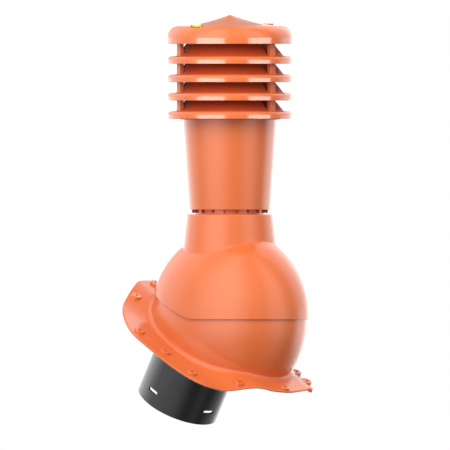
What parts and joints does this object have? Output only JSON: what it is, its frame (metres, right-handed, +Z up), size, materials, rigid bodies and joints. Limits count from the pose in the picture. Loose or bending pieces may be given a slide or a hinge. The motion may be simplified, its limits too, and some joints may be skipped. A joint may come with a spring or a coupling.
{
  "type": "roof ventilation outlet",
  "caption": "Moulded roof vent pipe with a louvred rain cap, a ball hood that tilts on a waved-tile base, and a duct spigot below.",
  "frame": {"origin": "where the pipe's vertical axis meets the underside of the base flange's valley plane, on a roof of 30.6 degrees", "axes": "+Z up along the pipe, +X down the roof slope towards the eave, -Y towards the flange's wide pan"},
  "size_m": [0.2951, 0.2531, 0.6006],
  "materials": {
    "brick_plastic": "smooth glossy brick-orange moulding",
    "duct_plastic": "satin black moulding",
    "vial_plastic": "clear vial with yellow-green liquid and a bubble"
  },
  "bodies": {
    "base": {"base": "brick_plastic", "spigot": "duct_plastic"},
    "head": {"hood": "brick_plastic", "pipe": "brick_plastic", "louvre_ring_1": "brick_plastic", "louvre_ring_2": "brick_plastic", "louvre_ring_3": "brick_plastic", "louvre_ring_4": "brick_plastic", "cap": "brick_plastic", "level_vial_left": "vial_plastic", "level_vial_right": "vial_plastic"}
  },
  "joints": [
    {"name": "hood_tilt", "type": "hinge", "parent": "base", "child": "head", "pos_m": [0, 0, 0.05518], "axis": [0, 1, 0], "range_deg": [-1, 25]}
  ]
}
